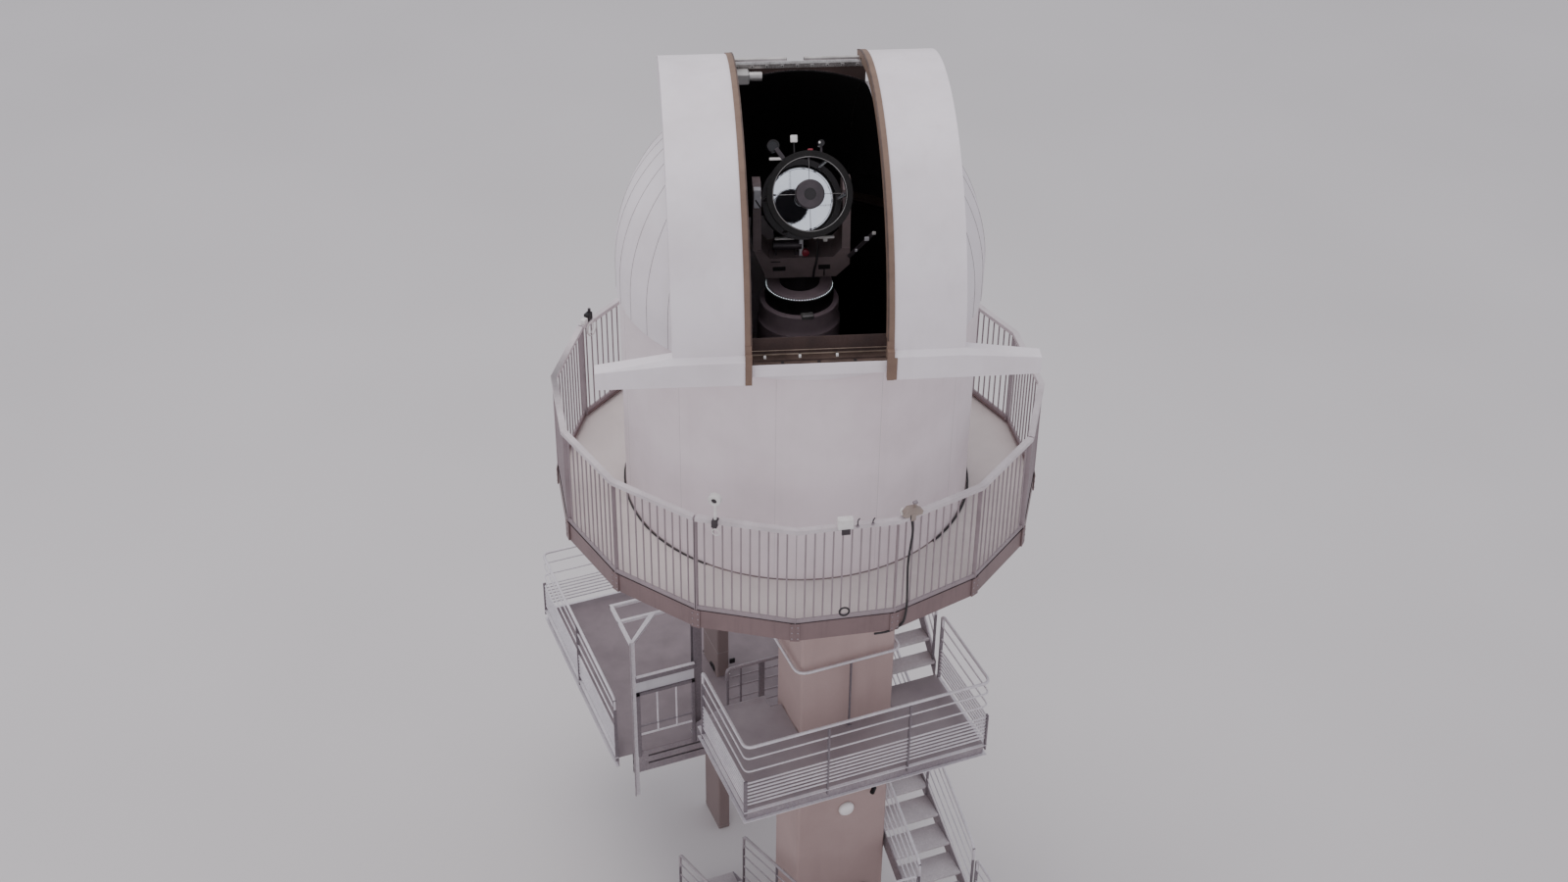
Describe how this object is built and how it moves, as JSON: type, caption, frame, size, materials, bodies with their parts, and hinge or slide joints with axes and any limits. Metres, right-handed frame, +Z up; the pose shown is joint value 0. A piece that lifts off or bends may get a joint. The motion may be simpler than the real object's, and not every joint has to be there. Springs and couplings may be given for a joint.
{
  "type": "observatory dome tower",
  "caption": "Observatory dome with sliding slit shutters and a telescope, on a railed gallery carried by a concrete pier with a winding steel stair.",
  "frame": {"origin": "on the ground on the dome's turning axis, on the foot face of the main pier", "axes": "+X to the right along the tower's front, +Y from the front to the back, +Z up"},
  "size_m": [4.8978, 6.4388, 11.5418],
  "materials": {
    "white_paint": "semi-gloss paint, off-white",
    "white_shell": "gel coat on glass fibre, off-white",
    "galvanised": "hot-dip galvanised, matt",
    "concrete": "cast concrete",
    "deck_coat": "coated screed, pale",
    "seal_rubber": "brush and rubber seal, tan",
    "dark_paint": "satin paint, black",
    "bare_steel": "bare steel",
    "mirror_glass": "aluminised glass"
  },
  "bodies": {
    "tower": {"main_pier": "concrete", "rear_column": "concrete", "gallery_frame": "concrete", "gallery_deck": "deck_coat", "room_floor": "deck_coat", "gallery_fascia": "white_paint", "gallery_railing_front": "white_paint", "gallery_railing_right": "white_paint", "gallery_railing_back": "white_paint", "gallery_railing_left": "white_paint", "drum_wall_front": "white_shell", "drum_wall_right": "white_shell", "drum_wall_back": "white_shell", "drum_wall_left": "white_shell", "drum_door": "white_shell", "track_ring": "bare_steel", "telescope_pedestal": "dark_paint", "landing_front_1": "galvanised", "landing_front_2": "galvanised", "landing_back": "galvanised", "flight_1": "galvanised", "flight_2": "galvanised", "flight_3": "galvanised", "flight_upper": "galvanised", "upper_walkway": "galvanised", "hatch_ladder": "galvanised", "pier_guard": "galvanised", "steel_post": "galvanised", "stair_gate": "galvanised"},
    "dome": {"dome_ring": "white_shell", "dome_shell_left": "white_shell", "dome_shell_right": "white_shell", "dome_shell_back": "white_shell", "upper_rail": "bare_steel", "lower_rail": "bare_steel", "gear_motor": "bare_steel"},
    "shutter_left": {"leaf_left": "white_shell", "seal_left": "seal_rubber"},
    "shutter_right": {"leaf_right": "white_shell", "seal_right": "seal_rubber"},
    "fork": {"telescope_fork": "dark_paint"},
    "telescope": {"tube_frame": "dark_paint", "primary_mirror": "mirror_glass", "secondary_mirror": "dark_paint", "finder": "dark_paint"}
  },
  "joints": [
    {"name": "dome_turn", "type": "hinge", "parent": "tower", "child": "dome", "pos_m": [0, 0, 9.394], "axis": [0, 0, 1], "continuous": true},
    {"name": "shutter_left_slide", "type": "slide", "parent": "dome", "child": "shutter_left", "axis": [0.9553, -0.2957, 0], "range_m": [0, 0.592]},
    {"name": "shutter_right_slide", "type": "slide", "parent": "dome", "child": "shutter_right", "axis": [-0.9553, 0.2957, 0], "range_m": [0, 0.592]},
    {"name": "telescope_azimuth", "type": "hinge", "parent": "tower", "child": "fork", "pos_m": [0, 0, 9.314], "axis": [0, 0, 1], "range_deg": [-270, 270]},
    {"name": "telescope_altitude", "type": "hinge", "parent": "fork", "child": "telescope", "pos_m": [0, 0, 10.226], "axis": [-0.9527, 0.304, 0], "range_deg": [-32, 58]}
  ]
}
